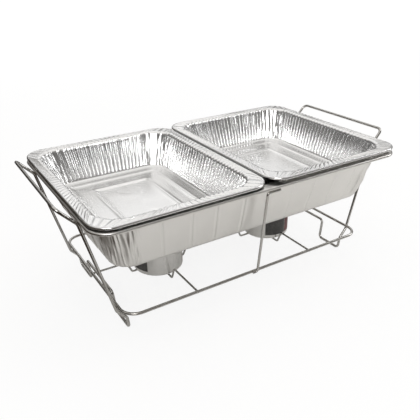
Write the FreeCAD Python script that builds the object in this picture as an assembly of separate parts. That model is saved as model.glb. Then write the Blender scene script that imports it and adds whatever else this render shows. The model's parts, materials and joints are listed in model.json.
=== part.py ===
import FreeCAD, Part
import math
import os

V = FreeCAD.Vector

# ---------------------------------------------------------------------------
# Wire chafing rack with a full-size foil water pan, two half-size foil food
# pans and two canned-heat fuel cans.  Millimetres, +Z up, origin on the table
# at the centre of the rack.  +X is the right end, -Y the front.
# ---------------------------------------------------------------------------

# rack wire
FRAME_R = 2.25            # end frames and base loop, 4.5 mm wire
STRUT_R = 2.0             # centre struts, 4.0 mm wire
CRADLE_R = 1.6            # spine and cradle wires, 3.2 mm wire
WELD = 0.3                # how far two wires sink into each other at a weld

# end frame (right one, X positive; the left one is its mirror image)
HANDLE_X, HANDLE_Y, HANDLE_Z = 287.0, 99.0, 213.4
SEAT_X, SEAT_Y, SEAT_Z = 262.0, 100.0, 186.8       # bend that the pan rim sits on
LEG_X, LEG_Y, LEG_Z = 224.5, 100.0, 36.7           # lower end of the straight leg
JOG_X, JOG_Y, JOG_Z = 210.4, 101.0, 20.8
FOOT_X, FOOT_Y = 208.4, 101.0
STEP_X, STEP_Y, STEP_Z = 212.2, 53.0, 37.5         # raised middle of the foot wire
HANDLE_BEND, SEAT_BEND, LEG_BEND = 9.0, 10.0, 10.0
JOG_BEND, FOOT_BEND, STEP_BEND = 9.0, 7.0, 6.0

# base loop
LOOP_X, LOOP_Y, LOOP_Z, LOOP_BEND = 222.0, 130.9, 43.9, 24.0
WIRE_END = 1.0            # the wires welded on at their ends stop this far inside the loop's wire

# cradles for the fuel cans
CAN_X = 108.3
CRADLE_TOP, CRADLE_BOTTOM = 57.0, 47.8             # half widths of the dropped part
SPINE_LOW_Z = 24.6
CROSS_Z = 42.9
CROSS_LOW_Z = SPINE_LOW_Z - 2 * CRADLE_R + 0.2     # under the spine wire, welded to it
CRADLE_BEND = 4.0

# centre struts
STRUT_LOW_X, STRUT_TOP_X = 3.0, 9.0                # the strut leans a little along X
STRUT_ARM, STRUT_NUB = 22.0, 8.0
STRUT_TOP_Y, STRUT_TOP_Z = 160.2, 188.7
STRUT_BEND = 4.0

# water pan
FOIL = 0.5
WATER_OUT = (263.5, 162.5, 32.0)                   # half length, half width, corner radius
WATER_WALL = (245.0, 144.0, 38.0)                  # inside the wall, where it starts to flare
WATER_LOW = (225.5, 125.0, 30.0)
WATER_TOP_Z, WATER_LOW_Z = 195.7, 114.5
WATER_FLARE, WATER_BEAD_R, WATER_EDGE_R = 4.0, 2.3, 7.0

# food pans: their tapered walls wedge in the water pan's mouth, so their
# flanges stand a few millimetres above its rim
FOOD_X = 131.5
FOOD_OUT = (131.2, 161.9, 32.0)
FOOD_WALL = (113.7, 144.4, 37.0)
FOOD_LOW = (98.3, 129.0, 30.0)
FOOD_TOP_Z = {"left": 203.0, "right": 205.3}
FOOD_DEPTH = 58.5
FOOD_FLARE, FOOD_BEAD_R, FOOD_EDGE_R = 5.5, 2.2, 6.0

# fuel can: drawn body
CAN_Z, CAN_H, CAN_R, CAN_WALL = 26.5, 62.0, 40.8, 0.5
CAN_EDGE_R = 4.5                                   # rounded lower edge
DISH_R, STAND_R, DISH_RISE = 33.0, 34.5, 1.5       # base dished up inside the ring it stands on
DISH_SHIFT = 0.35                                  # the dish's inner skin is this much wider
GEL_H = 46.0

# fuel can: top end, heights measured down from the can's top
SEAM_R, SEAM_H, SEAM_EDGE = 42.2, 3.0, 0.6
SEAM_IN, SEAM_IN_EDGE = 1.2, 0.4                   # the seam's inner face, in from the body's wall
PANEL_DROP = 3.4
NECK_R, NECK_DROP = 29.5, 6.4                      # sleeve that the lid plugs into
LIP_W, LIP_DROP, LIP_EDGE = 1.7, 1.6, 0.6          # rolled lip round the sleeve
END_BEVEL = 0.2

# fuel can: plug lid
LID_GAP = 0.3                                      # between the plug and the sleeve
LID_DROP, LID_T, LID_EDGE = 0.5, 0.8, 0.4          # flange that covers the lip
LID_OVER = 2.6                                     # flange, out from the sleeve
WELL_DROP, WELL_T = 3.5, 0.7                       # sunk middle
PLUG_TOP_IN, PLUG_LOW_IN, PLUG_EDGE = 0.5, 1.1, 0.5
WELL_TOP_IN, WELL_LOW_IN = 1.2, 1.8

# fuel can: paper label, angles in degrees from +X
LABEL_LOW, LABEL_HIGH, LABEL_T = 8.0, 53.0, 0.2
LABEL_SWEEP = 200.0
LABEL_START = {"left": 19.0, "right": -128.0}
CAN_OFFSET = {"left": (-2.0, -4.0), "right": (5.0, -5.0)}   # the cans stand a little off centre

NEAR = 1e-4               # tolerance for picking edges by their place


# ---------------------------------------------------------------------------
# helpers
# ---------------------------------------------------------------------------
def rod(points, bends, r, closed=False):
    """Round wire along straight runs joined by tangent bends."""
    pts = [V(*p) for p in points]
    n = len(pts)
    idx = range(n) if closed else range(1, n - 1)
    if not hasattr(bends, "__len__"):
        bends = [bends] * len(list(idx))
    corner = {}
    for k, i in enumerate(idx):
        a, b, c = pts[i - 1], pts[i], pts[(i + 1) % n]
        d_in, d_out = (b - a).normalize(), (c - b).normalize()
        turn = d_in.getAngle(d_out)
        t = bends[k] * math.tan(turn / 2)
        corner[i] = (b - d_in * t, b + d_out * t, d_in, d_out, turn, bends[k])
    bits = []
    for i, (p0, p1, d_in, d_out, turn, bend) in corner.items():
        axis = d_in.cross(d_out).normalize()
        centre = p0 + axis.cross(d_in) * bend
        disc = Part.Face(Part.Wire(Part.makeCircle(r, p0, d_in)))
        bits.append(disc.revolve(centre, axis, math.degrees(turn)))
    last = n if closed else n - 1
    for i in range(last):
        j = (i + 1) % n
        s = corner[i][1] if i in corner else pts[i]
        e = corner[j][0] if j in corner else pts[j]
        bits.append(Part.makeCylinder(r, (e - s).Length, s, e - s))
    return bits[0].multiFuse(bits[1:])


def rounded(hx, hy, z, radius, cx=0.0):
    """Closed rounded rectangle, always started at the same corner."""
    q = math.sqrt(0.5) * radius
    edges = []
    centres = [(cx + hx - radius, hy - radius, 1, 1), (cx - hx + radius, hy - radius, -1, 1),
               (cx - hx + radius, -hy + radius, -1, -1), (cx + hx - radius, -hy + radius, 1, -1)]
    ends = []
    for x, y, sx, sy in centres:
        mid = V(x + sx * q, y + sy * q, z)
        if sx * sy > 0:
            a, b = V(x + sx * radius, y, z), V(x, y + sy * radius, z)
        else:
            a, b = V(x, y + sy * radius, z), V(x + sx * radius, y, z)
        edges.append(Part.Arc(a, mid, b).toShape())
        ends.append((a, b))
    out = []
    for k in range(4):
        out.append(edges[k])
        out.append(Part.makeLine(ends[k][1], ends[(k + 1) % 4][0]))
    return Part.Wire(out)


def tub(low, high, cx, edge_r):
    """Tapered rounded box with its lower edge rounded; low/high are (hx, hy, z, r)."""
    body = Part.makeLoft([rounded(*low, cx=cx), rounded(*high, cx=cx)], True, True)
    foot_z = low[2]
    rim = [e for e in body.Edges
           if abs(e.BoundBox.ZMin - foot_z) < NEAR and abs(e.BoundBox.ZMax - foot_z) < NEAR]
    return body.makeFillet(edge_r, rim)


def flare(wall, cx, centre_z, centre_off, r, steps=5):
    """Quarter-round flare above a wall, as a stack of rounded rectangles."""
    wx, wy, wr = wall
    rows = []
    for k in range(steps + 1):
        a = math.pi / 2 * k / steps
        off = centre_off - r * math.cos(a)
        rows.append(rounded(wx + off, wy + off, centre_z + r * math.sin(a), wr + off, cx))
    return Part.makeLoft(rows, True, True)


def foil_pan(cx, outer, wall, low, top_z, low_z, flare_r, bead_r, edge_r):
    """Pressed foil pan: tapered walls, flared mouth, flat flange, rolled bead round its edge."""
    ox, oy, orad = outer
    wx, wy, wr = wall
    lx, ly, lr = low
    wall_z = top_z - flare_r
    slope_x, slope_y, slope_r = [(a + FOIL - b) / (wall_z - low_z) for a, b in zip(wall, low)]
    outside = tub((lx, ly, low_z, lr), (wx + FOIL, wy + FOIL, wall_z, wr + FOIL), cx, edge_r)
    outside = outside.fuse(flare(wall, cx, wall_z, flare_r, flare_r - FOIL))
    inside_low = (lx - FOIL + slope_x * FOIL, ly - FOIL + slope_y * FOIL, low_z + FOIL,
                  lr - FOIL + slope_r * FOIL)
    inside = tub(inside_low, (wx, wy, wall_z, wr), cx, edge_r - FOIL)
    mouth = Part.Face(rounded(wx + flare_r, wy + flare_r, top_z, wr + flare_r, cx)).extrude(V(0, 0, 1.0))
    inside = inside.fuse([flare(wall, cx, wall_z, flare_r, flare_r), mouth])
    plate_in = bead_r * 0.6                        # the flange's edge is buried in the bead
    plate = Part.Face(rounded(ox - plate_in, oy - plate_in, top_z - FOIL, orad - plate_in, cx))
    plate = plate.extrude(V(0, 0, FOIL))
    bx, by, bead_z = ox - bead_r, oy - bead_r, top_z - bead_r
    bead = rod([(cx + bx, by, bead_z), (cx - bx, by, bead_z), (cx - bx, -by, bead_z), (cx + bx, -by, bead_z)],
               orad - bead_r, bead_r, closed=True)
    return outside.fuse([plate, bead]).cut(inside)


def ring(profile):
    """Solid of revolution about Z from (radius, height) points."""
    pts = [V(x, 0, z) for x, z in profile]
    face = Part.Face(Part.makePolygon(pts + [pts[0]]))
    return face.revolve(V(0, 0, 0), V(0, 0, 1), 360)


# ---------------------------------------------------------------------------
# rack
# ---------------------------------------------------------------------------
def end_frame(side):
    """Handle, legs and feet of one end, bent from a single closed wire."""
    half = [(HANDLE_X, -HANDLE_Y, HANDLE_Z), (SEAT_X, -SEAT_Y, SEAT_Z), (LEG_X, -LEG_Y, LEG_Z),
            (JOG_X, -JOG_Y, JOG_Z), (FOOT_X, -FOOT_Y, FRAME_R), (FOOT_X, -STEP_Y, FRAME_R),
            (STEP_X, -STEP_Y, STEP_Z)]
    path = half + [(x, -y, z) for x, y, z in half[::-1]]
    bends = [HANDLE_BEND, SEAT_BEND, LEG_BEND, JOG_BEND, FOOT_BEND, STEP_BEND, STEP_BEND]
    return rod([(side * x, y, z) for x, y, z in path], bends + bends[::-1], FRAME_R, closed=True)


parts = {}
parts["left_end_frame"] = end_frame(-1)
parts["right_end_frame"] = end_frame(1)
parts["base_loop"] = rod([(LOOP_X, LOOP_Y, LOOP_Z), (-LOOP_X, LOOP_Y, LOOP_Z),
                          (-LOOP_X, -LOOP_Y, LOOP_Z), (LOOP_X, -LOOP_Y, LOOP_Z)],
                         LOOP_BEND, FRAME_R, closed=True)

spine = [(-LOOP_X + WIRE_END, 0, LOOP_Z)]
for cx in (-CAN_X, CAN_X):
    spine += [(cx - CRADLE_TOP, 0, LOOP_Z), (cx - CRADLE_BOTTOM, 0, SPINE_LOW_Z),
              (cx + CRADLE_BOTTOM, 0, SPINE_LOW_Z), (cx + CRADLE_TOP, 0, LOOP_Z)]
spine.append((LOOP_X - WIRE_END, 0, LOOP_Z))
parts["spine_wire"] = rod(spine, CRADLE_BEND, CRADLE_R)

for name, cx in (("left", -CAN_X), ("right", CAN_X)):
    parts[name + "_cradle_wire"] = rod(
        [(cx, -LOOP_Y - WIRE_END, CROSS_Z), (cx, -CRADLE_TOP, CROSS_Z), (cx, -CRADLE_BOTTOM, CROSS_LOW_Z),
         (cx, CRADLE_BOTTOM, CROSS_LOW_Z), (cx, CRADLE_TOP, CROSS_Z), (cx, LOOP_Y + WIRE_END, CROSS_Z)],
        CRADLE_BEND, CRADLE_R)

strut_low_y = LOOP_Y + FRAME_R + STRUT_R - WELD
for name, s in (("front", -1), ("rear", 1)):
    path = [(STRUT_LOW_X + STRUT_NUB, strut_low_y, LOOP_Z), (STRUT_LOW_X, strut_low_y, LOOP_Z),
            (STRUT_TOP_X, STRUT_TOP_Y, STRUT_TOP_Z), (STRUT_TOP_X - STRUT_ARM, STRUT_TOP_Y, STRUT_TOP_Z)]
    parts[name + "_strut"] = rod([(s * x, s * y, z) for x, y, z in path], STRUT_BEND, STRUT_R)

# ---------------------------------------------------------------------------
# pans
# ---------------------------------------------------------------------------
parts["water_pan"] = foil_pan(0.0, WATER_OUT, WATER_WALL, WATER_LOW, WATER_TOP_Z, WATER_LOW_Z,
                              WATER_FLARE, WATER_BEAD_R, WATER_EDGE_R)
for name, cx in (("left", -FOOD_X), ("right", FOOD_X)):
    top_z = FOOD_TOP_Z[name]
    parts[name + "_food_pan"] = foil_pan(cx, FOOD_OUT, FOOD_WALL, FOOD_LOW, top_z, top_z - FOOD_DEPTH,
                                         FOOD_FLARE, FOOD_BEAD_R, FOOD_EDGE_R)

# ---------------------------------------------------------------------------
# fuel cans, made standing on z = 0 and then moved onto their cradles
# ---------------------------------------------------------------------------
def circle_edges(shape, radius, z):
    """The full-circle edges of a turned shape at one radius and height."""
    return [e for e in shape.Edges if e.Curve.TypeId == "Part::GeomCircle"
            and abs(e.Curve.Radius - radius) < NEAR and abs(e.Curve.Center.z - z) < NEAR]


def can_body():
    """Drawn can: straight wall, rounded lower edge, base dished up inside a standing ring."""
    t = CAN_WALL
    wall_top = CAN_H - SEAM_H
    body = ring([(0, DISH_RISE), (DISH_R, DISH_RISE), (STAND_R, 0), (CAN_R, 0), (CAN_R, wall_top),
                 (CAN_R - t, wall_top), (CAN_R - t, t), (STAND_R + DISH_SHIFT, t),
                 (DISH_R + DISH_SHIFT, DISH_RISE + t), (0, DISH_RISE + t)])
    outer = circle_edges(body, CAN_R, 0)
    inner = circle_edges(body, CAN_R - t, t)
    return body.makeFillet(CAN_EDGE_R, outer).makeFillet(CAN_EDGE_R - t, inner)


def fuel_gel(body):
    """Fuel that fills the can up to GEL_H, wall to wall."""
    cavity = Part.makeCylinder(CAN_R - CAN_WALL, GEL_H).cut(body)
    return max(cavity.Solids, key=lambda solid: solid.BoundBox.ZMax)


def can_top():
    """Top end: double seam, sunk panel, and a sleeve with a rolled lip for the lid."""
    t = CAN_WALL
    seam_z, panel_z = CAN_H - SEAM_H, CAN_H - PANEL_DROP
    seam_in = CAN_R - SEAM_IN
    lip_r, lip_z = NECK_R + LIP_W, CAN_H - LIP_DROP
    neck_z = CAN_H - NECK_DROP
    return ring([(CAN_R - t, seam_z), (SEAM_R, seam_z), (SEAM_R, CAN_H - SEAM_EDGE),
                 (SEAM_R - SEAM_EDGE, CAN_H), (seam_in + SEAM_IN_EDGE, CAN_H),
                 (seam_in, CAN_H - SEAM_EDGE), (seam_in, panel_z), (lip_r, panel_z),
                 (lip_r, lip_z - LIP_EDGE), (lip_r - LIP_EDGE, lip_z), (NECK_R + LIP_EDGE, lip_z),
                 (NECK_R, lip_z - LIP_EDGE), (NECK_R, neck_z), (NECK_R + t, neck_z),
                 (NECK_R + t, panel_z - t), (CAN_R - t - END_BEVEL, panel_z - t),
                 (CAN_R - t, panel_z - t + END_BEVEL)])


def can_lid():
    """Plug lid: a plug in the sleeve, a flange over the lip and a sunk middle."""
    plug_r, flange_r = NECK_R - LID_GAP, NECK_R + LID_OVER
    top_z, well_z = CAN_H - LID_DROP, CAN_H - WELL_DROP
    under_z, low_z = top_z - LID_T, well_z - WELL_T
    return ring([(0, low_z), (plug_r - PLUG_LOW_IN - PLUG_EDGE, low_z),
                 (plug_r - PLUG_LOW_IN, low_z + LID_EDGE), (plug_r - PLUG_TOP_IN, under_z),
                 (flange_r - LID_EDGE, under_z), (flange_r, under_z + LID_EDGE),
                 (flange_r - LID_EDGE, top_z), (plug_r - WELL_TOP_IN, top_z),
                 (plug_r - WELL_LOW_IN, well_z), (0, well_z)])


def can_label(start):
    """Paper wrap part of the way round the wall, from a start angle in degrees."""
    outer = CAN_R + LABEL_T
    sleeve = ring([(CAN_R, LABEL_LOW), (outer, LABEL_LOW), (outer, LABEL_HIGH), (CAN_R, LABEL_HIGH)])
    wedge = Part.makeCylinder(2 * CAN_R, CAN_H, V(0, 0, 0), V(0, 0, 1), LABEL_SWEEP)
    wedge.rotate(V(0, 0, 0), V(0, 0, 1), start)
    return sleeve.common(wedge)


body = can_body()
can_pieces = {"can_body": body, "fuel_gel": fuel_gel(body), "can_top": can_top(), "can_lid": can_lid()}
for name, cx in (("left", -CAN_X), ("right", CAN_X)):
    can_pieces["can_label"] = can_label(LABEL_START[name])
    dx, dy = CAN_OFFSET[name]
    for key, shape in can_pieces.items():
        piece = shape.copy()
        piece.translate(V(cx + dx, dy, CAN_Z))
        parts[name + "_" + key] = piece

# ---------------------------------------------------------------------------
# output
# ---------------------------------------------------------------------------
os.makedirs("parts", exist_ok=True)
for name, shape in parts.items():
    solids = shape.Solids
    if len(solids) == 1:
        shape = solids[0]
    box = shape.BoundBox
    size = (box.XMin, box.XMax, box.YMin, box.YMax, box.ZMin, box.ZMax)
    print("%-20s solids %d valid %s vol %.1f" % (name, len(solids), shape.isValid(), shape.Volume),
          " x %.1f..%.1f y %.1f..%.1f z %.1f..%.1f" % size)
    shape.exportStep("parts/%s.step" % name)
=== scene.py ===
import json
import math
from collections import namedtuple

import bpy
import numpy as np
from mathutils import Matrix, Vector

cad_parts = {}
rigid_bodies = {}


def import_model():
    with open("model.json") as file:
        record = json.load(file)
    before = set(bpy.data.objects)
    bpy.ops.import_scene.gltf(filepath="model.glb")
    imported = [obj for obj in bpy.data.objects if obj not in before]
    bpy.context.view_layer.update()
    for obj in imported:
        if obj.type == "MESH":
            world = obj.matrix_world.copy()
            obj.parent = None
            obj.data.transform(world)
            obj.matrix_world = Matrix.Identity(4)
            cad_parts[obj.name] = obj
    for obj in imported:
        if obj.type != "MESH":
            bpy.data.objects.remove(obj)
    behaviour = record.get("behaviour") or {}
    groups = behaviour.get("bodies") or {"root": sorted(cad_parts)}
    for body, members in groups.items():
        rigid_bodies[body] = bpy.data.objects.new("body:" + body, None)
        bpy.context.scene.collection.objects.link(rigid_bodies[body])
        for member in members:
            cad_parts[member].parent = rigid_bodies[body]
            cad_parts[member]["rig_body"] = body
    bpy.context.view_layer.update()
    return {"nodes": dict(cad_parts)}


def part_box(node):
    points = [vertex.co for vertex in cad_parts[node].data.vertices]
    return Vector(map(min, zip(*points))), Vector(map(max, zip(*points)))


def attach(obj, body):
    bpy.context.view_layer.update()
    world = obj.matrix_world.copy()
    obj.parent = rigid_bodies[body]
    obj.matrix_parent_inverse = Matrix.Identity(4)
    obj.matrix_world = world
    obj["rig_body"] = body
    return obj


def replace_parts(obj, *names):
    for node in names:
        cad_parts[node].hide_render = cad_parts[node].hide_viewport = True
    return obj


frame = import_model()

MM = 0.001
TAU = 2 * math.pi
QUARTER = math.pi / 2
nodes = frame["nodes"]
SIDES = ("left", "right")


# ---------------------------------------------------------------------------
# small helpers
# ---------------------------------------------------------------------------
def new_piece(name, verts, faces, body, material, smooth=True):
    """Mesh object in metres that rides on a body, or on none when body is None."""
    mesh = bpy.data.meshes.new(name)
    mesh.from_pydata([tuple(v) for v in verts], [], faces)
    mesh.validate()
    mesh.update()
    mesh.polygons.foreach_set("use_smooth", [smooth] * len(mesh.polygons))
    obj = bpy.data.objects.new(name, mesh)
    bpy.context.scene.collection.objects.link(obj)
    mesh.materials.append(material)
    if body:
        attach(obj, body)
    return obj


def smoothstep(x, low, high):
    """0 below low, 1 above high, and a smooth rise between them."""
    t = np.clip((x - low) / (high - low), 0, 1)
    return t * t * (3 - 2 * t)


def dimmed(tone, share):
    return [c * share for c in tone]


def set_stops(ramp, stops):
    """Gives a colour ramp node its stops: places from 0 to 1, each with a grey level or a colour."""
    points = ramp.color_ramp.elements
    while len(points) < len(stops):
        points.new(0.5)
    for point, (at, colour) in zip(points, stops):
        point.position = at
        point.color = (*colour, 1.0) if hasattr(colour, "__len__") else (colour, colour, colour, 1.0)


# ---------------------------------------------------------------------------
# materials
# ---------------------------------------------------------------------------
PATCH_EDGES = (0.3, 0.7)         # noise levels between which a patch blends into the next
MIX_A, MIX_B, MIX_RESULT = 6, 7, 2       # the colour sockets of a Mix node


class Nodes:
    """Short way to build a node material."""

    def __init__(self, name):
        self.material = bpy.data.materials.new(name)
        self.material.use_nodes = True
        self.tree = self.material.node_tree
        self.tree.nodes.clear()
        self.shader = self.add("ShaderNodeBsdfPrincipled")
        self.out = self.add("ShaderNodeOutputMaterial").inputs["Surface"]
        self.link(self.shader.outputs[0], self.out)
        self.where = self.add("ShaderNodeTexCoord").outputs["Object"]

    def add(self, kind, **values):
        """New node, with its settings or the values of its inputs given by name."""
        node = self.tree.nodes.new(kind)
        for key, value in values.items():
            if hasattr(node, key):
                setattr(node, key, value)
            else:
                node.inputs[key.replace("_", " ")].default_value = value
        return node

    def link(self, a, b):
        self.tree.links.new(a, b)

    def surface(self, **values):
        """Constant values on the shader's own sockets."""
        for key, value in values.items():
            self.shader.inputs[key.replace("_", " ")].default_value = value

    def stretched(self, scale):
        node = self.add("ShaderNodeMapping")
        node.inputs["Scale"].default_value = scale
        self.link(self.where, node.inputs["Vector"])
        return node.outputs[0]

    def noise(self, scale, detail=2.0, roughness=0.5, vector=None, distortion=0.0):
        """Noise in the object's own space, with about scale lumps to the metre."""
        node = self.add("ShaderNodeTexNoise", Scale=scale, Detail=detail, Roughness=roughness,
                        Distortion=distortion)
        self.link(vector or self.where, node.inputs["Vector"])
        return node.outputs["Fac"]

    def ramp(self, value, stops, mode="LINEAR"):
        node = self.add("ShaderNodeValToRGB")
        node.color_ramp.interpolation = mode
        set_stops(node, stops)
        self.link(value, node.inputs[0])
        return node.outputs[0]

    def patches(self, socket, pattern, first, second, edges=PATCH_EDGES):
        """Blends one of the shader's sockets between two values, in the patches of a pattern."""
        self.link(self.ramp(pattern, list(zip(edges, (first, second)))), self.shader.inputs[socket])

    def bump(self, height, strength, distance, after=None):
        node = self.add("ShaderNodeBump", Strength=strength, Distance=distance)
        self.link(height, node.inputs["Height"])
        if after is not None:
            self.link(after, node.inputs["Normal"])
        return node.outputs[0]

    def calculate(self, operation, first, second=None):
        """Math node on one value, or on two of which the second may be a plain number."""
        node = self.add("ShaderNodeMath", operation=operation)
        self.link(first, node.inputs[0])
        if isinstance(second, float):
            node.inputs[1].default_value = second
        elif second is not None:
            self.link(second, node.inputs[1])
        return node.outputs[0]

    def finish(self, normal):
        """Takes the last bump as the shader's normal, and gives the material."""
        self.link(normal, self.shader.inputs["Normal"])
        return self.material


def foil(name, tone, roughness, crinkle):
    """Soft aluminium foil: satin, with rolling lines, fine crinkle and small dents."""
    m = Nodes(name)
    m.surface(Metallic=1.0)
    m.patches("Base Color", m.noise(9.0, 4.0, 0.55), dimmed(tone, 0.95), tone)
    m.patches("Roughness", m.noise(38.0, 5.0, 0.6), roughness * 0.85, roughness * 1.15, (0.25, 0.75))
    lines = m.noise(60.0, vector=m.stretched((0.08, 9.0, 0.5)))
    rolled = m.bump(lines, strength=0.02, distance=0.0004)
    dents = m.bump(m.noise(24.0, distortion=0.6), strength=crinkle, distance=0.004, after=rolled)
    return m.finish(m.bump(m.noise(260.0), strength=crinkle * 0.2, distance=0.0008, after=dents))


def wire_metal():
    """Bright plated wire, uneven in tone and gloss, with tiny pits."""
    m = Nodes("plated_wire")
    m.surface(Metallic=1.0)
    m.patches("Base Color", m.noise(14.0, 4.0, 0.6), (0.47, 0.455, 0.43), (0.60, 0.59, 0.575))
    m.patches("Roughness", m.noise(90.0, 5.0, 0.65), 0.13, 0.27)
    pits = m.bump(m.noise(900.0), strength=0.05, distance=0.0003)
    return m.finish(m.bump(m.noise(120.0, 3.0), strength=0.06, distance=0.0008, after=pits))


def tinplate(name, tone, roughness):
    """Can sheet: brushed slightly along Z, with handling marks."""
    m = Nodes(name)
    m.surface(Metallic=1.0)
    m.patches("Base Color", m.noise(22.0, 4.0, 0.6), dimmed(tone, 0.88), tone)
    m.patches("Roughness", m.noise(70.0, 4.0, 0.6), roughness * 0.8, roughness * 1.2)
    strokes = m.noise(40.0, vector=m.stretched((30.0, 30.0, 1.0)))
    brushed = m.bump(strokes, strength=0.05, distance=0.0004)
    return m.finish(m.bump(m.noise(45.0, 3.0), strength=0.08, distance=0.001, after=brushed))


def fuel():
    """Pink gel, slightly translucent, with a lumpy surface."""
    m = Nodes("fuel_gel")
    m.surface(Roughness=0.25, Subsurface_Weight=0.3, Subsurface_Scale=0.004)
    m.patches("Base Color", m.noise(60.0, 3.0), (0.62, 0.30, 0.38), (0.78, 0.48, 0.54))
    return m.finish(m.bump(m.noise(120.0, 3.0), strength=0.2, distance=0.001))


LABEL_GREY, LABEL_RED, LABEL_LINE = (0.060, 0.058, 0.056), (0.125, 0.012, 0.014), (0.30, 0.29, 0.27)
RED_FROM, RED_TO = 0.150, 0.400          # shares of the way round from the label's own edge
LINE_WIDTH = 0.004                       # of the pale line at each end of the red block, as such a share


def label_print(name, centre, start_deg):
    """Printed wrap in three plain blocks: dark grey, dark red, dark grey."""
    m = Nodes(name)
    m.surface(Roughness=0.42, Specular_IOR_Level=0.5, Coat_Weight=0.25, Coat_Roughness=0.25)
    shift = m.add("ShaderNodeMapping")
    shift.inputs["Location"].default_value = (-centre.x, -centre.y, 0)
    m.link(m.where, shift.inputs["Vector"])
    # angle round the can from the label's own edge, as a share of a full turn
    turned = m.add("ShaderNodeVectorRotate", rotation_type="Z_AXIS")
    turned.inputs["Angle"].default_value = -math.radians(start_deg)
    m.link(shift.outputs[0], turned.inputs["Vector"])
    split = m.add("ShaderNodeSeparateXYZ")
    m.link(turned.outputs[0], split.inputs[0])
    angle = m.calculate("ARCTAN2", split.outputs["Y"], split.outputs["X"])
    round_can = m.calculate("FRACT", m.calculate("DIVIDE", angle, TAU))
    blocks = m.ramp(round_can, [(0.0, LABEL_GREY), (RED_FROM, LABEL_LINE),
                                (RED_FROM + LINE_WIDTH, LABEL_RED), (RED_TO, LABEL_LINE),
                                (RED_TO + LINE_WIDTH, LABEL_GREY)], "CONSTANT")
    speck = m.ramp(m.noise(420.0), [(0.45, 0.75), (0.62, 1.35)])
    mix = m.add("ShaderNodeMix", data_type="RGBA", blend_type="MULTIPLY")
    mix.inputs["Factor"].default_value = 1.0
    m.link(blocks, mix.inputs[MIX_A])
    m.link(speck, mix.inputs[MIX_B])
    m.link(mix.outputs[MIX_RESULT], m.shader.inputs["Base Color"])
    return m.finish(m.bump(m.noise(600.0, 3.0, 0.6), strength=0.08, distance=0.0002))


WATER_FOIL = foil("water_pan_foil", tone=(0.86, 0.845, 0.82), roughness=0.33, crinkle=0.035)
FOOD_FOIL = foil("food_pan_foil", tone=(0.91, 0.91, 0.91), roughness=0.24, crinkle=0.03)
WIRE = wire_metal()
WELD = tinplate("weld_metal", tone=(0.50, 0.48, 0.46), roughness=0.34)
CAN_SHEET = tinplate("can_sheet", tone=(0.88, 0.87, 0.85), roughness=0.38)
CAN_END = tinplate("can_end_sheet", tone=(0.74, 0.73, 0.70), roughness=0.28)
FUEL = fuel()


def paint(node, material):
    """Gives a CAD node one material all over."""
    obj = nodes[node]
    if not obj.material_slots:
        obj.data.materials.append(material)
    for place in obj.material_slots:
        place.material = material


# ---------------------------------------------------------------------------
# foil pans: their shape, in millimetres
# ---------------------------------------------------------------------------
FOIL = 0.5                       # thickness
WATER_SHAPE = dict(
    rim_radius=32.0, bead=2.3, edge=7.0, flare=4.0,
    wall_in=18.5, wall_radius=38.0,          # wall top, measured in from the rim
    low_in=38.0, low_radius=30.0,            # foot of the wall, measured in from the rim
    spacing=1.6,                             # spacing of the mesh along the straight sides
)
FOOD_SHAPE = dict(
    rim_radius=32.0, bead=2.2, edge=6.0, flare=5.5,
    wall_in=17.5, wall_radius=37.0,
    low_in=32.9, low_radius=30.0,
    spacing=1.2,
)
FLOOR_RADIUS = 4.0               # a floor's rings get no sharper corners, where they are wide enough

# how fine the mesh is
CORNER_SPACING = 0.8             # round a pan's rim, at the corners
EDGE_ROWS_INNER, EDGE_ROWS_OUTER = 6, 4
WALL_ROWS, FLARE_ROWS, BEAD_ROWS = 12, 4, 14
FLANGE_ROWS, UNDER_ROWS = 7, 6
FLOOR_ROW, RIB_ROW = 6.0, 1.7    # spacing of a floor's rings, plain and over a rib
RIB_REACH = 7.0                  # a ring this near a rib's middle counts as over it
FLOOR_EYE = 1.5                  # half width of the innermost ring, which one face closes
LAST_GAP = 0.5                   # no ring is nearer than this to the floor's outermost one
LEAST_STRAIGHT = 0.5             # half of the straight run that every ring keeps on each side
HALVED_IN, QUARTERED_IN = 2.0, 6.0       # this far in, rings use every second or fourth sample

Row = namedtuple("Row", "inset radius z out up zone share")
Row.__doc__ = """One ring of a pan.

inset and radius are how far in it is from the rim and its corner radius, out and up are the
direction that relief moves it, and share is how far it is through its zone, 0 to 1. On the floor,
share is the distance in from the floor's edge in mm.
"""


# ---------------------------------------------------------------------------
# foil pans: mesh
# ---------------------------------------------------------------------------
def samples(length, spacing):
    """How many samples a run gets: a multiple of four, so a ring can use every fourth one."""
    return 4 * round(length / spacing / 4)


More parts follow.
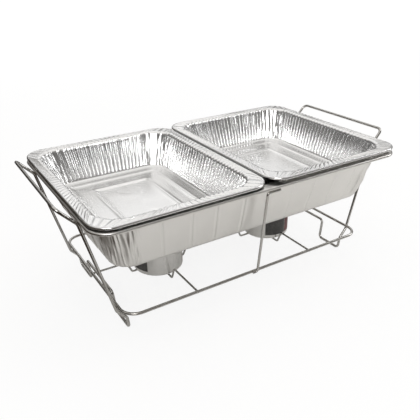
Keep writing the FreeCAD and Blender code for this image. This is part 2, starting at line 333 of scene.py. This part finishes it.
class Outline:
    """Samples round a rounded rectangle, the same ones for every ring of a pan.

    A ring with half sizes (hx, hy) and corner radius r puts sample i at
    a * (h - r) + r * n, so rings of any size line up with each other.
    """

    def __init__(self, hx, hy, r, spacing):
        straight = [(hy - r) * 2, (hx - r) * 2]
        arc = r * QUARTER
        a, n, run = [], [], []
        corners = [(1, 1), (-1, 1), (-1, -1), (1, -1)]
        length = 0.0
        for k, (sx, sy) in enumerate(corners):
            steps = samples(arc, CORNER_SPACING)
            for i in range(steps):
                t = k * QUARTER + QUARTER * i / steps
                a.append((sx, sy))
                n.append((math.cos(t), math.sin(t)))
                run.append(length + arc * i / steps)
            length += arc
            side = straight[(k + 1) % 2]
            steps = samples(side, spacing)
            nx, ny = corners[(k + 1) % 4]
            turn = (k + 1) * QUARTER
            for i in range(steps):
                f = i / steps
                a.append((sx + (nx - sx) * f, sy + (ny - sy) * f))
                n.append((math.cos(turn), math.sin(turn)))
                run.append(length + side * f)
            length += side
        self.a, self.n, self.run = np.array(a), np.array(n), np.array(run)
        self.length = length
        self.half_arc = arc / 2
        self.corner_mid = [self.half_arc]        # middle of each corner, along the rim
        for k in range(3):
            self.corner_mid.append(self.corner_mid[-1] + arc + straight[(k + 1) % 2])
        self.from_corner = np.min([np.abs(self.gap(mid)) for mid in self.corner_mid], axis=0)

    def ring(self, hx, hy, r):
        return self.a * (np.array([hx, hy]) - r) + r * self.n

    def gap(self, at):
        """Signed distance along the rim of every sample from a place on it, the short way round."""
        return (self.run - at + self.length / 2) % self.length - self.length / 2


class Pan:
    """A pressed foil pan: profile rows swept round an outline, with relief."""

    def __init__(self, node, shape, relief, seed):
        low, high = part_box(node)
        self.cx = (low.x + high.x) / 2 / MM
        self.hx = (high.x - low.x) / 2 / MM
        self.hy = (high.y - low.y) / 2 / MM
        self.top = high.z / MM
        self.low = low.z / MM
        self.shape = shape
        self.out = Outline(self.hx, self.hy, shape["rim_radius"], shape["spacing"])
        self.random = np.random.default_rng(seed)
        self.relief = relief(self)
        self.rows = self.profile()

    def skin(self, inner):
        """Rows of one skin, inner or outer, from the middle of the floor to the flange."""
        s = self.shape
        wall_z = self.top - s["flare"]
        inside = FOIL if inner else 0.0          # how far the inner skin is up or in
        outside = 0.0 if inner else FOIL         # how far the outer skin is out
        radius = s["edge"] - inside
        r_flare = s["flare"] - outside
        floor_z = self.low + inside
        # the wall's line, from its foot to the flare
        foot_in = s["low_in"] + inside
        top_in = s["wall_in"] - outside
        slope = (foot_in - top_in) / (wall_z - self.low)
        lean = math.atan(slope)
        # the fillet between the floor and the leaning wall
        sweep = QUARTER - lean
        setback = radius * math.tan(sweep / 2)
        centre_in = foot_in - slope * (floor_z - self.low) + setback
        centre_z = floor_z + radius
        rows = [Row(inset, self.radius_at(inset), floor_z, 0.0, 1.0, "floor", share)
                for inset, share in self.floor_rows(centre_in)]
        steps = EDGE_ROWS_INNER if inner else EDGE_ROWS_OUTER
        for k in range(1, steps + 1):
            t = sweep * k / steps
            inset = centre_in - radius * math.sin(t)
            rows.append(Row(inset, self.radius_at(inset), centre_z - radius * math.cos(t),
                            -math.sin(t), math.cos(t), "edge", k / steps))
        fillet_z = centre_z - radius * math.cos(sweep)
        for k in range(1, WALL_ROWS + 1):
            f = k / WALL_ROWS
            z = fillet_z + (wall_z - fillet_z) * f
            inset = foot_in - slope * (z - self.low)
            rows.append(Row(inset, self.radius_at(inset), z, -math.cos(lean), math.sin(lean), "wall", f))
        for k in range(1, FLARE_ROWS + 1):
            t = QUARTER * k / FLARE_ROWS
            across = r_flare * math.cos(t)
            rows.append(Row(s["wall_in"] - s["flare"] + across, s["wall_radius"] + s["flare"] - across,
                            wall_z + r_flare * math.sin(t), -math.cos(t), math.sin(t), "flare",
                            k / FLARE_ROWS))
        return rows

    def radius_at(self, inset):
        """Corner radius of the wall and floor rings by how far in they are."""
        s = self.shape
        if inset <= s["low_in"]:
            f = (inset - s["wall_in"]) / (s["low_in"] - s["wall_in"])
            return s["wall_radius"] + (s["low_radius"] - s["wall_radius"]) * f
        return max(s["low_radius"] - (inset - s["low_in"]), FLOOR_RADIUS)

    def floor_rows(self, start_in):
        """Insets of the floor's rings from the middle outwards, closer together over the ribs."""
        inset = min(self.hx, self.hy) - FLOOR_EYE
        rows = []
        while inset > start_in + LAST_GAP:
            ribbed = any(abs(inset - start_in - at) < RIB_REACH for at in self.relief.rib_at)
            rows.append((inset, inset - start_in))
            inset -= RIB_ROW if ribbed else FLOOR_ROW
        rows.append((start_in, 0.0))
        return rows

    def profile(self):
        """Every row: the inner skin, over the flange and round its bead, and back down the outer skin."""
        s = self.shape
        bead = s["bead"]
        rim_radius = s["rim_radius"] - bead

        def flange_row(start, end, f, z, share):
            """Row a share f of the way between two places, each an inset and a corner radius."""
            inset, radius = (a + (b - a) * f for a, b in zip(start, end))
            return Row(inset, radius, z, 0.0, 1.0, "flange", share)

        rows = self.skin(True)
        mouth = (s["wall_in"] - s["flare"], s["wall_radius"] + s["flare"])
        for k in range(1, FLANGE_ROWS + 1):
            f = k / FLANGE_ROWS
            rows.append(flange_row(mouth, (bead, rim_radius), f, self.top, f))
        # the rolled bead, from its top round the outside to the flange's underside
        last = math.pi - math.asin(1 - FOIL / bead) + math.pi
        for k in range(1, BEAD_ROWS + 1):
            t = QUARTER - (QUARTER + last) * k / BEAD_ROWS
            across = bead * math.cos(t)
            rows.append(Row(bead - across, rim_radius + across, self.top - bead + bead * math.sin(t),
                            0.0, 1.0, "bead", k / BEAD_ROWS))
        under = rows[-1][:2]
        for k in range(1, UNDER_ROWS):
            f = k / UNDER_ROWS
            rows.append(flange_row(under, mouth, f, self.top - FOIL, 1 - f))
        return rows + self.skin(False)[::-1]

    def build(self, name, body, material):
        verts, rings = [], []
        for row in self.rows:
            hx, hy = self.hx - row.inset, self.hy - row.inset
            radius = min(row.radius, hx - LEAST_STRAIGHT, hy - LEAST_STRAIGHT)
            lift = self.relief(row.zone, row.share)
            flat = self.out.ring(hx, hy, radius)
            points = np.empty((len(flat), 3))
            points[:, :2] = flat + self.out.n * (row.out * lift)[:, None]
            points[:, 2] = row.z + row.up * lift
            points[:, 0] += self.cx
            step = 1
            if row.zone == "floor" and row.share > HALVED_IN:
                step = 4 if row.share > QUARTERED_IN else 2
            picked = points[::step]
            rings.append((len(verts), len(picked)))
            verts.extend(picked * MM)
        faces = []
        for (a, na), (b, nb) in zip(rings, rings[1:]):
            faces += bridge(a, na, b, nb)
        for (start, count), turn in ((rings[0], -1), (rings[-1], 1)):
            faces.append([start + i for i in range(count)][::turn])
        return new_piece(name, verts, faces, body, material)


def bridge(a, na, b, nb):
    """Faces between two rings whose counts are equal or differ by a factor of two or four."""
    if na == nb:
        return [(a + i, a + (i + 1) % na, b + (i + 1) % nb, b + i) for i in range(na)]
    if na < nb:
        k = nb // na
        return [tuple([a + i, a + (i + 1) % na] + [b + (i * k + j) % nb for j in range(k, -1, -1)])
                for i in range(na)]
    k = na // nb
    return [tuple([a + (i * k + j) % na for j in range(k + 1)] + [b + (i + 1) % nb, b + i])
            for i in range(nb)]


# ---------------------------------------------------------------------------
# foil pans: relief, in millimetres
# ---------------------------------------------------------------------------
FLUTE_PITCH = 9.6                # crimp and flutes of the food pans
CREASE_PITCH = 49.3              # upright creases in the water pan's walls


def waves(random, out, count, low, high):
    """Smooth wobble along the rim, mostly between -1.5 and 1.5.

    Each of its waves fits a whole number of times round the rim, from low to just under high.
    """
    total = np.zeros_like(out.run)
    for _ in range(count):
        k = random.integers(low, high)
        total += math.sqrt(1 / count) * np.sin(TAU * k * out.run / out.length + random.uniform(0, TAU))
    return total


class Wrinkles:
    """Upright folds of soft foil, gathered at the corners."""

    pitch, spread = 5.0, (0.65, 1.4)     # from fold to fold, and the shares of it that it varies between
    width, depth = (0.8, 1.9), (0.35, 1.25)
    lean = (-4, 4)                       # along the rim, from the foot of the wall to its top
    bend, bend_rate = 1.3, 5             # sideways bend, and radians of it up the wall
    swell, swell_rate = 0.4, 7           # share of the depth that comes and goes, and its radians
    fade = (0.7, 1.1)                    # shares of the reach between which the folds die out

    def __init__(self, pan, reach):
        self.out = pan.out
        self.reach = reach
        self.folds = []
        rng = pan.random
        for mid in pan.out.corner_mid:
            at = mid - reach
            while at < mid + reach:
                self.folds.append((at, rng.uniform(*self.width), rng.uniform(*self.depth),
                                   rng.uniform(*self.lean), rng.uniform(0, TAU)))
                at += self.pitch * rng.uniform(*self.spread)

    def __call__(self, height):
        """Depth of the folds at a share of the wall's height, 0 to 1."""
        total = np.zeros_like(self.out.run)
        for at, width, depth, lean, phase in self.folds:
            here = at + lean * (height - 0.5) + self.bend * math.sin(self.bend_rate * height + phase)
            swell = 1 - self.swell + self.swell * math.sin(self.swell_rate * height + phase * 2)
            total += depth * np.exp(-(self.out.gap(here) / width) ** 2) * swell
        start, end = (self.reach * share for share in self.fade)
        return total * (1 - smoothstep(self.out.from_corner, start, end))


class Relief:
    """How far a pan's foil stands off its plain surface, by zone.

    Above zero is up on the floor, flange and bead, and towards the pan's inside on the walls.
    """

    def ribs(self, share):
        """Ridges pressed up in the floor, as rounded rectangles inside its edge."""
        lift = np.zeros_like(self.crush)
        for at in self.rib_at:
            lift += self.rib_height * math.exp(-((share - at) / self.rib_width) ** 2)
        return lift

    def bead(self, share):
        """Small dents in the bead, none at either end of its roll."""
        return self.crush_of["bead"] * self.crush * math.sin(math.pi * share) ** 2


class FoodRelief(Relief):
    """Flutes down the walls, crimped flange, gathered corners, pressed ribs in the floor."""

    rib_at, rib_width, rib_height = (16.0, 46.0), 3.2, 1.6
    sharpness = 1.3                      # power that narrows the flutes
    uneven = 0.14                        # share of a flute's depth that varies along the rim
    gather = 6                           # the folds reach this far past half a corner's arc
    calm = (0.8, 14)                     # flutes gain depth from this share of half the arc to 14 past it
    corner_loss = 0.5                    # share of its depth that a flute loses at a corner
    flare_loss, flange_loss = 0.35, 0.55         # and by the flare's top and the flange's outer edge
    sink = 0.45                          # the crimp is set down this far
    settle_from, settle_rate = 1.15, 3   # where the crimp near the bead would reach zero, and how fast
    start, rise = 0.3, 1.2               # share of a flute's depth at the foot of the wall, and its gain
    full_sway = 20                       # this far in, the floor sways fully
    # heights of the flutes, folds, small dents and slow swaying, by zone
    flute_of = dict(edge=0.45, wall=1.55, flare=1.5, flange=1.3)
    fold_of = dict(edge=0.5, wall=1.1, flare=0.9, flange=0.7)
    crush_of = dict(wall=0.10, flange=0.12, bead=0.08)
    sway_of = dict(floor=0.12, wall=0.25, flange=0.12)

    def __init__(self, pan):
        out, rng = pan.out, pan.random
        count = round(out.length / FLUTE_PITCH)
        wander = waves(rng, out, 5, 3, 20) * 0.5
        cosine = np.cos(TAU * count * out.run / out.length + wander)
        strength = 1 - self.uneven + self.uneven * waves(rng, out, 6, 8, 60)
        self.flute = (0.5 - 0.5 * cosine) ** self.sharpness * strength
        share, past = self.calm
        self.corner = 1 - smoothstep(out.from_corner, out.half_arc * share, out.half_arc + past)
        self.wrinkles = Wrinkles(pan, out.half_arc + self.gather)
        self.sway = waves(rng, out, 4, 2, 9)
        self.crush = waves(rng, out, 8, 30, 110)

    def __call__(self, zone, share):
        if zone == "bead":
            return self.bead(share)
        if zone == "floor":
            return self.ribs(share) + self.sway_of[zone] * self.sway * min(share / self.full_sway, 1)
        flute = self.flute_of[zone] * self.flute
        if zone == "edge":
            return share * flute + share * self.fold_of[zone] * self.wrinkles(0) * self.corner
        if zone == "wall":
            up = min(1.0, self.start + share * self.rise)
            return (up * flute * (1 - self.corner_loss * self.corner)
                    + self.wrinkles(share) * self.fold_of[zone]
                    + self.crush_of[zone] * self.crush * share
                    + self.sway_of[zone] * (self.sway + 1) * math.sin(math.pi * share))
        folds = self.fold_of[zone] * self.wrinkles(1.0)
        if zone == "flare":
            return flute * (1 - self.corner_loss * self.corner) * (1 - share * self.flare_loss) + folds
        fade = 1 - self.flange_loss * share
        crimp = fade * (flute + folds + self.crush_of[zone] * self.crush)
        return ((crimp - self.sink + self.sway_of[zone] * self.sway)
                * min(1.0, (self.settle_from - share) * self.settle_rate))


class WaterRelief(Relief):
    """Smooth walls with a few upright creases and gathered corners.

    Nearly all of it stands outwards, which keeps the walls clear of the food pans.
    """

    rib_at, rib_width, rib_height = (22.0, 60.0), 4.5, 1.5
    first = 0.37                         # place of the first crease, as a share of the pitch
    jitter, depth = (-3, 3), (0.6, 1.0)  # of each crease, along the rim and as a share of its height
    ridge, ridge_width = 1.4, 1.8
    groove, groove_width, beside = 0.5, 2.2, 4.0         # shallow groove beside the ridge
    gather = 10                          # the folds reach this far past half a corner's arc
    straight_from, straight_to = 2, 16   # past half the arc, where the creases fade in
    calm = (0.9, 12)                     # and where corner buckling fades, from this share of it to 12 past
    stiff_from, stiff_loss = 0.8, 0.65   # relief is lost above this share of the wall, this much at the top
    belly, lean_out = 0.9, 0.25          # bulge of the wall between creases, and its slow swaying
    fold, buckle = 3.2, 1.5              # height of the corner folds, and of their buckling
    buckles = ((0.35, 11), (0.25, 17))   # heights and radians of the two ways a corner buckles
    flare_loss = 0.6                     # share of its relief that the flare loses by its top
    sink = 0.1                           # the flange lies this far low
    crease_of = dict(edge=0.5, flare=0.3)
    fold_of = dict(edge=0.7, flare=0.5, flange=0.12)
    crush_of = dict(flange=0.08, bead=0.05)

    def __init__(self, pan):
        out, rng = pan.out, pan.random
        count = round(out.length / CREASE_PITCH)
        pitch = out.length / count
        creases = np.zeros_like(out.run)
        for k in range(count):
            gap = out.gap(pitch * (k + self.first) + rng.uniform(*self.jitter))
            ridge = self.ridge * np.exp(-(gap / self.ridge_width) ** 2)
            groove = self.groove * np.exp(-((gap - self.beside) / self.groove_width) ** 2)
            creases += rng.uniform(*self.depth) * (ridge - groove)
        self.straight = smoothstep(out.from_corner, out.half_arc + self.straight_from,
                                   out.half_arc + self.straight_to)
        self.creases = creases * self.straight
        self.pillow = 0.5 - 0.5 * np.cos(TAU * count * (out.run - self.first * pitch) / out.length)
        self.wrinkles = Wrinkles(pan, out.half_arc + self.gather)
        self.sway = waves(rng, out, 5, 2, 9)
        self.crush = waves(rng, out, 8, 40, 130)
        share, past = self.calm
        self.corner = 1 - smoothstep(out.from_corner, out.half_arc * share, out.half_arc + past)

    def wall(self, share):
        arch = math.sin(math.pi * share)
        stiff = 1 - self.stiff_loss * max(0.0, (share - self.stiff_from) / (1 - self.stiff_from))
        (fine, fine_rate), (slow, slow_rate) = self.buckles
        buckle = (fine * self.crush * math.sin(fine_rate * share)
                  + slow * self.sway * math.cos(slow_rate * share))
        folds = self.fold * self.wrinkles(share) + self.buckle * buckle * self.corner
        return -((self.creases + folds) * stiff + self.belly * arch * self.pillow * self.straight
                 + self.lean_out * (self.sway + 1) * arch)

    def __call__(self, zone, share):
        if zone == "floor":
            return self.ribs(share)
        if zone == "bead":
            return self.bead(share)
        if zone == "wall":
            return self.wall(share)
        folds = self.fold_of[zone] * self.wrinkles(0 if zone == "edge" else 1.0)
        if zone == "flange":
            return -self.sink + self.crush_of[zone] * self.crush - folds * (1 - share)
        fade = share if zone == "edge" else 1 - self.flare_loss * share
        return -(self.crease_of[zone] * self.creases + folds) * fade


def build_pans():
    water = Pan("water_pan", WATER_SHAPE, WaterRelief, 11)
    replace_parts(water.build("water_pan_foil", "water_pan_body", WATER_FOIL), "water_pan")
    for k, side in enumerate(SIDES):
        pan = Pan(side + "_food_pan", FOOD_SHAPE, FoodRelief, 21 + k)
        made = pan.build(side + "_food_pan_foil", side + "_food_pan_body", FOOD_FOIL)
        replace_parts(made, side + "_food_pan")


# ---------------------------------------------------------------------------
# rack: the wires keep their CAD shape, with welds added where they cross
# ---------------------------------------------------------------------------
FRAME_R = 2.25                   # wire radius of the end frames and the base loop
NUGGET_TURNS, NUGGET_ROWS = 18, 11
LUMPS, LUMP_WAVES, LUMP_SIZE = 3, (2, 5), (0.05, 0.11)   # count, waves round a weld, share of its size
CRADLE_DROP = 1.0                # a cradle wire is welded this far below the loop's middle
STRUT_SHARE = 0.45               # a strut's weld is this share of the way out to the end of its foot
# half sizes of the welds: the spine's ends, the legs, the wires under the spine, those wires' ends,
# and the struts
END_WELD = (1.1, 2.2, 1.9)
LEG_WELD = (1.0, 2.6, 2.4)
SPINE_WELD = (2.2, 2.2, 0.9)
CRADLE_WELD = (2.2, 1.1, 1.9)
STRUT_WELD = (4.5, 1.0, 1.5)


def weld_places():
    """Centre and half sizes of each weld, in mm, worked out from the wires' own boxes."""
    low, high = (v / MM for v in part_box("base_loop"))
    cross_x = [sum(v.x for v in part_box(side + "_cradle_wire")) / 2 / MM for side in SIDES]
    leg_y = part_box("right_end_frame")[1].y / MM - FRAME_R
    strut_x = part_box("front_strut")[0].x / MM
    spine_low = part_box("spine_wire")[0].z / MM
    mid_z = (low.z + high.z) / 2
    places = []
    for sx in (-1, 1):
        loop_x = sx * (high.x - FRAME_R)
        places.append(((loop_x - sx * FRAME_R, 0, mid_z), END_WELD))
        for sy in (-1, 1):
            places.append(((loop_x + sx * FRAME_R, sy * leg_y, mid_z), LEG_WELD))
    for x in cross_x:
        places.append(((x, 0, spine_low), SPINE_WELD))
        for sy in (-1, 1):
            places.append(((x, sy * (high.y - 2 * FRAME_R), mid_z - CRADLE_DROP), CRADLE_WELD))
    for sy in (-1, 1):
        places.append(((-sy * strut_x * STRUT_SHARE, sy * high.y, mid_z), STRUT_WELD))
    return places


def build_welds():
    """Small lumpy nuggets where two wires were spot-welded together."""
    rng = np.random.default_rng(5)
    verts, faces = [], []
    for centre, half in weld_places():
        start = len(verts)
        lumps = [(rng.integers(*LUMP_WAVES), rng.uniform(0, TAU), rng.uniform(*LUMP_SIZE))
                 for _ in range(LUMPS)]
        for row in range(1, NUGGET_ROWS):
            down = math.pi * row / NUGGET_ROWS
            for k in range(NUGGET_TURNS):
                turn = TAU * k / NUGGET_TURNS
                swell = 1 + sum(size * math.sin(n * turn + phase + 2 * down) for n, phase, size in lumps)
                verts.append((centre[0] + half[0] * swell * math.sin(down) * math.cos(turn),
                              centre[1] + half[1] * swell * math.sin(down) * math.sin(turn),
                              centre[2] + half[2] * math.cos(down)))
        rings = range(start, len(verts), NUGGET_TURNS)
        for a, b in zip(rings, rings[1:]):
            for k in range(NUGGET_TURNS):
                after = (k + 1) % NUGGET_TURNS
                faces.append((a + k, b + k, b + after, a + after))
        faces.append(tuple(rings[0] + k for k in range(NUGGET_TURNS)))
        faces.append(tuple(rings[-1] + k for k in reversed(range(NUGGET_TURNS))))
    new_piece("weld_nuggets", np.array(verts) * MM, faces, "rack", WELD)


def build_rack():
    for node, obj in nodes.items():
        if obj["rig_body"] == "rack":
            paint(node, WIRE)
    build_welds()


# ---------------------------------------------------------------------------
# fuel cans
# ---------------------------------------------------------------------------
LABEL_START = {"left": 19.0, "right": -128.0}     # degrees, where each label's edge is


def build_cans():
    for side in SIDES:
        low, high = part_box(side + "_can_top")
        paint(side + "_can_body", CAN_SHEET)
        paint(side + "_can_top", CAN_END)
        paint(side + "_can_lid", CAN_END)
        paint(side + "_fuel_gel", FUEL)
        paint(side + "_can_label", label_print(side + "_label_print", (low + high) / 2, LABEL_START[side]))


# ---------------------------------------------------------------------------
# studio
# ---------------------------------------------------------------------------
CAMERA_AT = Vector((-0.4187, -0.6650, 0.4826))
CAMERA_YAW, CAMERA_PITCH, CAMERA_ROLL = 31.89, 26.31, -0.67      # degrees; yaw from +Y towards +X
CAMERA_LENS, SENSOR = 43.62, 36.0
CLIP_START, CLIP_END = 0.01, 100.0

WHITE = (1, 1, 1)
LIGHTS = (
    # name, place, what it is aimed at, size, watts, tone
    ("overhead", (-0.1, 0.25, 1.75), (0, 0.05, 0.15), (3.2, 2.4), 15, (1, 0.99, 0.975)),
    ("behind", (1.3, 2.3, 1.45), (0, 0, 0.15), (3.2, 1.3), 9, WHITE),
    ("front", (-1.3, -1.7, 1.3), (0, 0, 0.12), (1.1, 0.8), 18, WHITE),
    ("right", (1.9, -0.5, 1.1), (0.1, 0, 0.12), (0.8, 1.0), 10, WHITE),
)

FLOOR_HALF = 30.0
FLOOR_TONE, FLOOR_GLOW = (0.9, 0.9, 0.9), 1.06
FLOOR_SHADE = [(0.1, 0.20), (0.7, 0.0)]          # share of the floor that takes shadows, by distance
HAZE_HALF = (5.0, 5.0, 1.0)                      # the distance it is measured against
SHEET_MIDDLE, SHEET_HALF = (0.42, 0.0, 0.0), (0.80, 0.75, 1.0)   # pale part of the floor; past it the floor is painted dark as painted shade
SHEET_AND_PAINTED_SHADE_TONES = [(0.84, (0.90, 0.90, 0.89)), (1.0, (0.055, 0.040, 0.028))]  # the pale sheet's tone, and the painted shade beyond it, seen only in reflections
ROOM_LIGHT = ((0.0, 0.035), (0.12, 0.05), (0.35, 0.22), (0.80, 0.35))     # by height in the sky
ROOM_TINT = (1.0, 0.97, 0.93)


def build_camera():
    data = bpy.data.cameras.new("camera")
    data.lens = CAMERA_LENS
    data.sensor_width = SENSOR
    data.clip_start, data.clip_end = CLIP_START, CLIP_END
    cam = bpy.data.objects.new("camera", data)
    bpy.context.scene.collection.objects.link(cam)
    yaw, pitch, roll = (math.radians(v) for v in (CAMERA_YAW, CAMERA_PITCH, CAMERA_ROLL))
    ahead = Vector((math.sin(yaw) * math.cos(pitch), math.cos(yaw) * math.cos(pitch), -math.sin(pitch)))
    right = Vector((math.cos(yaw), -math.sin(yaw), 0))
    up = right.cross(ahead)
    right, up = (math.cos(roll) * right + math.sin(roll) * up,
                 math.cos(roll) * up - math.sin(roll) * right)
    cam.matrix_world = Matrix((
        (right.x, up.x, -ahead.x, CAMERA_AT.x),
        (right.y, up.y, -ahead.y, CAMERA_AT.y),
        (right.z, up.z, -ahead.z, CAMERA_AT.z),
        (0, 0, 0, 1)))
    bpy.context.scene.camera = cam


def area_light(name, at, target, size, power, tone):
    data = bpy.data.lights.new(name, "AREA")
    data.shape = "RECTANGLE"
    data.size, data.size_y = size
    data.energy = power
    data.color = tone
    lamp = bpy.data.objects.new(name, data)
    bpy.context.scene.collection.objects.link(lamp)
    lamp.location = at
    lamp.visible_camera = False
    lamp.rotation_mode = "QUATERNION"
    lamp.rotation_quaternion = (Vector(target) - Vector(at)).to_track_quat("-Z", "Y")


def by_ray(tree, seen, unseen):
    """Shows one shader to the camera and another to everything else."""
    mix = tree.nodes.new("ShaderNodeMixShader")
    path = tree.nodes.new("ShaderNodeLightPath")
    tree.links.new(path.outputs["Is Camera Ray"], mix.inputs[0])
    tree.links.new(unseen, mix.inputs[1])
    tree.links.new(seen, mix.inputs[2])
    return mix.outputs[0]


def reach(m, middle, half):
    """Distance from a place on the floor, as a share of the given half sizes."""
    place = m.add("ShaderNodeMapping", vector_type="TEXTURE")
    place.inputs["Location"].default_value = middle
    place.inputs["Scale"].default_value = half
    m.link(m.where, place.inputs["Vector"])
    length = m.add("ShaderNodeVectorMath", operation="LENGTH")
    m.link(place.outputs[0], length.inputs[0])
    return length.outputs["Value"]


def build_floor():
    """Pale sweep: near-white to the eye, a lit sheet with dark surroundings in reflections."""
    m = Nodes("studio_floor")
    m.tree.nodes.remove(m.shader)
    pale = m.add("ShaderNodeBsdfDiffuse", Color=(*FLOOR_TONE, 1))
    glow = m.add("ShaderNodeEmission", Strength=FLOOR_GLOW)
    seen = m.add("ShaderNodeMixShader")
    m.link(m.ramp(reach(m, (0, 0, 0), HAZE_HALF), FLOOR_SHADE), seen.inputs[0])
    m.link(glow.outputs[0], seen.inputs[1])
    m.link(pale.outputs[0], seen.inputs[2])
    # diffuse floor for reflections: pale sheet in the middle, painted shade (a near-black tone) beyond it
    sheet = m.add("ShaderNodeBsdfDiffuse")
    m.link(m.ramp(reach(m, SHEET_MIDDLE, SHEET_HALF), SHEET_AND_PAINTED_SHADE_TONES), sheet.inputs["Color"])
    m.link(by_ray(m.tree, seen.outputs[0], sheet.outputs[0]), m.out)
    h = FLOOR_HALF
    floor = new_piece("studio_floor", [(-h, -h, 0), (h, -h, 0), (h, h, 0), (-h, h, 0)],
                      [(0, 1, 2, 3)], None, m.material, False)


def build_world():
    """Plain white to the eye, a dim room that gets lighter upwards to everything else."""
    world = bpy.data.worlds.new("studio")
    bpy.context.scene.world = world
    world.use_nodes = True
    tree = world.node_tree
    tree.nodes.clear()
    out = tree.nodes.new("ShaderNodeOutputWorld")
    room = tree.nodes.new("ShaderNodeBackground")
    plain = tree.nodes.new("ShaderNodeBackground")
    where = tree.nodes.new("ShaderNodeTexCoord")
    split = tree.nodes.new("ShaderNodeSeparateXYZ")
    ramp = tree.nodes.new("ShaderNodeValToRGB")
    set_stops(ramp, [(at, dimmed(ROOM_TINT, tone)) for at, tone in ROOM_LIGHT])
    tree.links.new(where.outputs["Generated"], split.inputs[0])
    tree.links.new(split.outputs["Z"], ramp.inputs[0])
    tree.links.new(ramp.outputs[0], room.inputs["Color"])
    plain.inputs["Color"].default_value = (*WHITE, 1)
    tree.links.new(by_ray(tree, plain.outputs[0], room.outputs[0]), out.inputs[0])


def build_studio():
    build_floor()
    build_world()
    for light in LIGHTS:
        area_light(*light)
    bpy.context.scene.view_settings.view_transform = "Standard"


build_pans()
build_rack()
build_cans()
build_studio()
build_camera()
